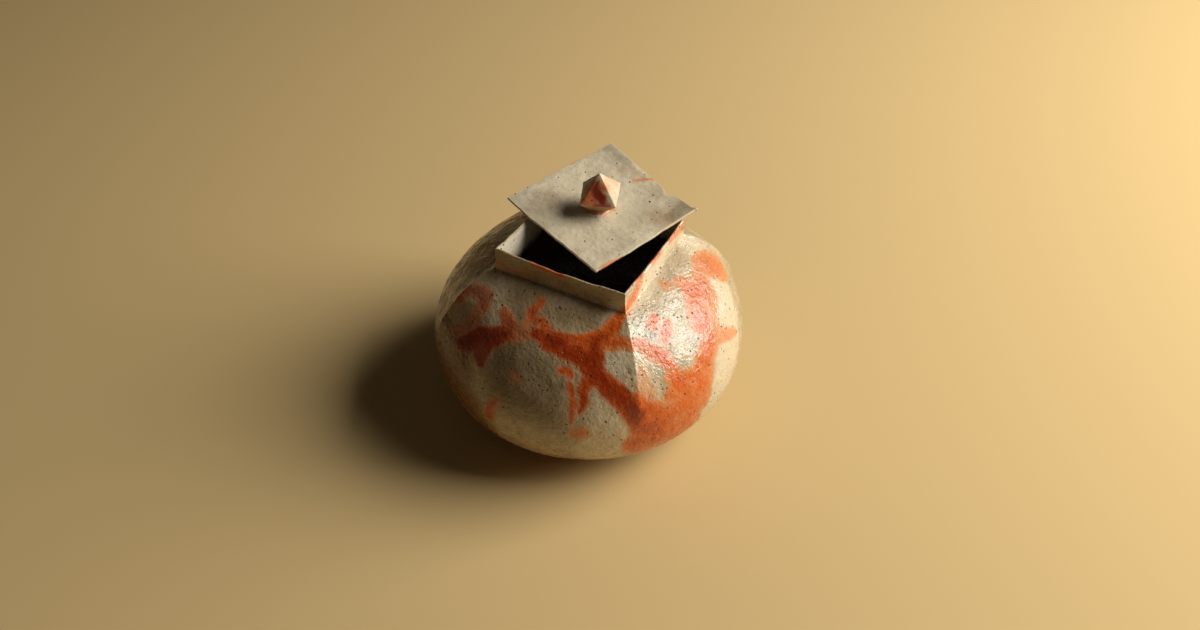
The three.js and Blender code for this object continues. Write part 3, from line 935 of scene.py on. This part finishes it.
def grain(tree, vector, size, detail, roughness=0.55):
    """Noise from 0 to 1 whose features are about size millimetres across."""
    scale = 1 / (size * MM)
    made = add_node(tree, "TexNoise", Vector=vector, Scale=scale, Detail=detail, Roughness=roughness)
    return made.outputs["Fac"]


def ramp(tree, value, low, high, to_low=0.0, to_high=1.0):
    made = add_node(
        tree,
        "MapRange",
        {"interpolation_type": "SMOOTHSTEP"},
        Value=value,
        From_Min=low,
        From_Max=high,
        To_Min=to_low,
        To_Max=to_high,
    )
    return made.outputs["Result"]


def mix(tree, share, a, b):
    made = add_node(tree, "Mix", {"data_type": "RGBA"})
    for value, socket in ((share, 0), (a, 6), (b, 7)):
        join(tree, value, made.inputs[socket])
    return made.outputs[2]


def maths(tree, operation, a, b):
    made = add_node(tree, "Math", {"operation": operation})
    join(tree, a, made.inputs[0])
    join(tree, b, made.inputs[1])
    return made.outputs[0]


def times(tree, a, b):
    return maths(tree, "MULTIPLY", a, b)


def total(tree, *parts):
    """Adds up parts, each of them a value and a factor."""
    result = 0.0
    for value, factor in parts:
        result = maths(tree, "ADD", times(tree, value, factor), result)
    return result


def colours(tree, value, stops):
    made = add_node(tree, "ValToRGB", Fac=value)
    elements = made.color_ramp.elements
    for number, (position, colour) in enumerate(stops):
        element = elements[number] if number < 2 else elements.new(position)
        element.position = position
        element.color = (*colour, 1)
    return made.outputs["Color"]


def attribute(tree, name):
    return add_node(tree, "Attribute", {"attribute_name": name}).outputs["Fac"]


def dots(tree, where, cell, radius, share):
    """Round dots, one in some of the cells, each cell with its own size of dot."""
    cells = add_node(tree, "TexVoronoi", Vector=where, Scale=1 / (cell * MM))
    chance = add_node(tree, "SeparateColor", Color=cells.outputs["Color"])
    size = ramp(tree, chance.outputs["Green"], 0.0, 1.0, 0.4 * radius / cell, radius / cell)
    round_dot = ramp(tree, cells.outputs["Distance"], times(tree, size, 0.5), size, 1.0, 0.0)
    return times(tree, round_dot, maths(tree, "LESS_THAN", chance.outputs["Red"], share))


def pit_layer(tree, where, pits):
    """Where the pits are, from 0 to 1."""
    deepest = 0.0
    for point, radius in pits:
        apart = add_node(tree, "VectorMath", {"operation": "DISTANCE"})
        join(tree, where, apart.inputs[0])
        join(tree, Vector(point * MM), apart.inputs[1])
        ragged = total(
            tree,
            (apart.outputs["Value"], 1 / MM),
            (grain(tree, where, 0.9, 2), 0.9),
            (1.0, -0.45),
        )
        deepest = maths(tree, "MAXIMUM", ramp(tree, ragged, 0.5 * radius, radius, 1.0, 0.0), deepest)
    return deepest


def patch_layer(tree, where, name, size, raggedness, low, high, most=1.0):
    """How much of a painted patch shows, from 0 to most. Noise makes its edges ragged."""
    inside = total(
        tree,
        (attribute(tree, name), 1.0),
        (grain(tree, where, size, 4, 0.6), raggedness),
        (1.0, -raggedness / 2),
    )
    return ramp(tree, inside, low, high, 0.0, most)


def fire_layer(tree, where, base, reach, raggedness):
    """Lays the fire marks over a base colour. Their edges are feathered, with a pale
    wash outside and dark cores inside."""
    inside = attribute(tree, "fire")
    veil = attribute(tree, "veil")
    ragged = total(
        tree,
        (grain(tree, where, 5, 4, 0.6), 2.2 * raggedness),
        (grain(tree, where, 15, 3, 0.5), 4.2 * raggedness),
        (grain(tree, place(tree, (1, 1, 0.35)), 2.6, 3, 0.6), 1.2 * raggedness),
        (1.0, -2.9 * raggedness),
    )
    edge = maths(tree, "ADD", inside, ragged)
    wash = ramp(tree, edge, -2.8 * reach, 0.4 * reach)
    base = mix(tree, times(tree, wash, times(tree, veil, 0.45)), base, PALE_ORANGE)
    cover = ramp(tree, edge, -1.9 * reach, 1.3 * reach)
    heat = total(
        tree,
        (ramp(tree, edge, -0.5 * reach, 6.0 * reach), 0.25),
        (attribute(tree, "burn"), 0.8),
        (grain(tree, where, 10, 4, 0.6), 0.6),
        (grain(tree, where, 2.4, 3, 0.6), 0.3),
        (1.0, -0.6),
    )
    flame = colours(tree, heat, [(0.1, PALE_ORANGE), (0.4, ORANGE), (0.7, RED), (1.0, DARK_RED)])
    return mix(tree, times(tree, cover, veil), base, flame)


def glaze_base(tree, where, light, middle, dark, small_share=0.4):
    """A clouded glaze, lighter and darker by broad patches and by small ones."""
    clouds = total(
        tree,
        (grain(tree, where, 26, 4, 0.6), 1 - small_share),
        (grain(tree, where, 5, 4, 0.6), small_share),
    )
    return colours(tree, clouds, [(0.36, dark), (0.48, middle), (0.59, light)])


def finish_shader(tree, shader, base, roughness, relief, strength, depth):
    join(tree, base, shader.inputs["Base Color"])
    join(tree, roughness, shader.inputs["Roughness"])
    bump = add_node(tree, "Bump", Strength=strength, Distance=depth * MM, Height=relief)
    join(tree, bump.outputs["Normal"], shader.inputs["Normal"])


def glaze_material(pits):
    made, tree, shader = material("ash_glaze", 0.3, 0.7)
    shader.inputs["Specular Tint"].default_value = (0.72, 0.87, 1.0, 1)
    where = place(tree)
    base = glaze_base(tree, where, CREAM, OLIVE_CREAM, GREY)

    # Brown patches and browner towards the foot, then dusky patches, pale ones and grey streaks.
    # The brown patches are partly painted shade, the dusky ones painted shade, the pale ones partly
    # painted light.
    height = add_node(tree, "SeparateXYZ", Vector=where).outputs["Z"]
    # Brown patches: partly thin brown glaze, partly painted shade on the shaded sides
    brown_and_shade = patch_layer(tree, where, "brown_and_shade", 16, 18.0, -10.0, 9.0, 0.95)
    browning_and_shade = attribute(tree, "browning_and_shade")
    brown = times(tree, ramp(tree, height, 0.05, 0.012), 0.6)
    brown = maths(tree, "MAXIMUM", brown, times(tree, brown_and_shade, browning_and_shade))
    base = mix(tree, brown, base, TAN_AND_SHADE)
    base = mix(tree, times(tree, brown_and_shade, ramp(tree, browning_and_shade, 1.0, 2.0)), base, UMBER_AND_SHADE)
    # Dusky patches: painted shade
    dusky_shade = patch_layer(tree, where, "dusky_shade", 9, 14.0, -10.0, 8.0)
    base = mix(tree, times(tree, dusky_shade, attribute(tree, "dusky_shading")), base, DUSKY_SHADE)
    # Pale patches: partly paler glaze, partly painted light on the lit side
    pale = patch_layer(tree, where, "pale", 12, 14.0, -5.0, 5.0)
    base = mix(tree, times(tree, pale, attribute(tree, "paling_and_light")), base, PALE_CREAM_AND_LIGHT)
    streaks = grain(tree, place(tree, (0.25, 0.25, 1)), 2.2, 4, 0.6)
    base = mix(tree, ramp(tree, streaks, 0.5, 0.8, 0.0, 0.35), base, GREY)

    # A pale lining at the mouth, and painted shade further in
    depth = attribute(tree, "depth")
    base = mix(tree, ramp(tree, depth, -30.0, -16.0, 0.0, 0.85), base, LINING)
    base = mix(tree, ramp(tree, depth, -4.0, 12.0), base, INTERIOR_SHADE)
    base = fire_layer(tree, where, base, 1.0, 1.0)

    fine = dots(tree, where, 3.1, 0.9, 0.5)
    large = dots(tree, where, 4.6, 1.0, 0.36)
    duskier = maths(tree, "MAXIMUM", times(tree, attribute(tree, "dusky_shading"), 1.5), 0.22)
    specks = maths(tree, "MAXIMUM", times(tree, fine, duskier), large)
    base = mix(tree, times(tree, specks, 0.85), base, SPECK)
    base = mix(tree, times(tree, dots(tree, where, 9.5, 0.9, 0.3), 0.7), base, RUST_SPECK)
    hollow = pit_layer(tree, where, pits)
    # The pits get painted shade
    base = mix(tree, hollow, base, PIT_SHADE)

    roughness = ramp(tree, grain(tree, where, 8, 4, 0.6), 0.46, 0.56, 0.05, 0.32)
    roughness = maths(tree, "ADD", roughness, times(tree, hollow, 0.4))
    relief = total(
        tree,
        (grain(tree, where, 6, 2, 0.5), 0.9),
        (grain(tree, where, 1.9, 2, 0.5), 0.62),
        (grain(tree, where, 0.9, 2, 0.5), 0.2),
        (streaks, 0.2),
        (dots(tree, where, 1.7, 0.6, 0.3), 0.12),
        (specks, -0.3),
        (hollow, -0.9),
    )
    finish_shader(tree, shader, base, roughness, relief, strength=0.7, depth=1.0)
    return made


def lid_material(pits):
    made, tree, shader = material("lid_glaze", 0.55, 0.4)
    where = place(tree)
    base = glaze_base(tree, where, (0.80, 0.71, 0.52), (0.75, 0.66, 0.48), (0.62, 0.54, 0.385), 0.3)
    ash = patch_layer(tree, where, "ash", 7, 14.0, -5.0, 5.0, 0.8)
    base = mix(tree, times(tree, ash, attribute(tree, "greying")), base, ASH)
    base = mix(tree, ramp(tree, grain(tree, where, 19, 3, 0.5), 0.52, 0.72, 0.0, 0.4), base, TAN_AND_SHADE)
    # Paler edges: partly worn glaze, partly a painted highlight along the edges
    base = mix(tree, times(tree, attribute(tree, "edge"), 0.7), base, PALE_CREAM_AND_LIGHT)
    base = fire_layer(tree, where, base, 0.4, 0.22)
    fine = dots(tree, where, 1.5, 0.42, 0.6)
    large = dots(tree, where, 4.2, 0.75, 0.5)
    specks = maths(tree, "MAXIMUM", times(tree, fine, 0.6), large)
    base = mix(tree, times(tree, specks, 0.85), base, SPECK)
    base = mix(tree, times(tree, dots(tree, where, 4.0, 0.6, 0.3), 0.6), base, RUST_SPECK)
    hollow = pit_layer(tree, where, pits)
    # The pits get painted shade
    base = mix(tree, hollow, base, PIT_SHADE)
    roughness = ramp(tree, grain(tree, where, 9, 3), 0.3, 0.7, 0.42, 0.68)
    relief = total(
        tree,
        (grain(tree, where, 13, 2, 0.4), 2.2),
        (grain(tree, where, 4, 2, 0.5), 0.5),
        (grain(tree, where, 1.2, 2, 0.5), 0.1),
        (specks, -0.4),
        (hollow, -1.0),
    )
    finish_shader(tree, shader, base, roughness, relief, strength=0.7, depth=0.8)
    return made


def knob_material(pits):
    made, tree, shader = material("knob_glaze", 0.5, 0.4)
    where = place(tree)
    base = glaze_base(tree, where, (0.80, 0.69, 0.51), (0.72, 0.61, 0.44), (0.52, 0.44, 0.32))
    # Painted shade: the facets below the waist go tan and darker
    base = mix(tree, ramp(tree, attribute(tree, "under"), -0.4, 3.0, 0.0, 0.95), base, TAN_AND_SHADE)
    base = fire_layer(tree, where, base, 1.0, 0.4)
    specks = dots(tree, where, 2.0, 0.36, 0.5)
    base = mix(tree, times(tree, specks, 0.7), base, SPECK)
    hollow = pit_layer(tree, where, pits)
    # The pits get painted shade
    base = mix(tree, hollow, base, PIT_SHADE)
    roughness = ramp(tree, grain(tree, where, 6, 3), 0.3, 0.7, 0.38, 0.62)
    relief = total(
        tree,
        (grain(tree, where, 2.0, 4, 0.6), 0.5),
        (grain(tree, where, 0.7, 2), 0.3),
        (specks, -0.4),
        (hollow, -1.0),
    )
    finish_shader(tree, shader, base, roughness, relief, strength=0.5, depth=0.6)
    return made


def clay_material():
    made, tree, shader = material("bare_clay", 0.85, 0.3)
    where = place(tree)
    base = mix(tree, grain(tree, where, 11, 4), (0.30, 0.18, 0.10), (0.46, 0.30, 0.18))
    base = mix(tree, times(tree, dots(tree, where, 2.5, 0.5, 0.4), 0.6), base, (0.62, 0.52, 0.4))
    roughness = ramp(tree, grain(tree, where, 8, 3), 0.3, 0.7, 0.75, 0.95)
    relief = grain(tree, where, 1.6, 4)
    finish_shader(tree, shader, base, roughness, relief, strength=0.6, depth=0.5)
    return made


def make_camera():
    data = bpy.data.cameras.new("camera")
    data.sensor_width = SENSOR_WIDTH
    data.lens = FOCAL_PIXELS / PHOTO_WIDTH * SENSOR_WIDTH
    camera = link("camera", data)
    camera.location = CAMERA_PLACE
    camera.rotation_euler = (math.pi / 2 - CAMERA_PITCH, 0, CAMERA_TURN)
    bpy.context.scene.camera = camera


def make_key_light():
    data = bpy.data.lights.new("key", "AREA")
    data.size = KEY_SIZE
    data.energy = KEY_WATTS
    data.color = KEY_COLOUR
    lamp = link("key", data)
    direction = Vector(KEY_DIRECTION).normalized()
    lamp.location = Vector((0, 0, BELLY_HEIGHT * MM)) + direction * KEY_DISTANCE
    lamp.rotation_euler = (-direction).to_track_quat("-Z", "Y").to_euler()


def make_stage():
    mesh = bpy.data.meshes.new("floor")
    corners = [(x * FLOOR_HALF, y * FLOOR_HALF, 0) for x, y in ((-1, -1), (1, -1), (1, 1), (-1, 1))]
    mesh.from_pydata(corners, [], [(0, 1, 2, 3)])
    floor = link("floor", mesh)
    made, _, shader = material("floor", 0.9, 0.2)
    shader.inputs["Base Color"].default_value = (*FLOOR_COLOUR, 1)
    mesh.materials.append(made)
    world = bpy.data.worlds.new("studio")
    world.use_nodes = True
    background = world.node_tree.nodes["Background"]
    background.inputs["Color"].default_value = (*ROOM_COLOUR, 1)
    background.inputs["Strength"].default_value = ROOM_LEVEL
    bpy.context.scene.world = world


def finish_piece(piece, made, body, slot, *nodes):
    piece.data.materials.append(made)
    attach(piece, body)
    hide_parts(*nodes)


jar, jar_pits = make_jar()
lid, lid_pits = make_lid()
knob, knob_pits = make_knob()
lid_glaze = lid_material(lid_pits)
finish_piece(jar, glaze_material(jar_pits), "jar", "ash_glaze", "jar_body", "mouth_collar")
finish_piece(make_foot(), clay_material(), "jar", "bare_clay", "foot_ring")
finish_piece(lid, lid_glaze, "lid", "lid_glaze", "lid_plate")
finish_piece(make_stem(), lid_glaze, "lid", "lid_glaze", "knob_stem")
finish_piece(knob, knob_material(knob_pits), "lid", "knob_glaze", "knob")
make_stage()
make_camera()
make_key_light()
bpy.context.scene.view_settings.view_transform = "Standard"
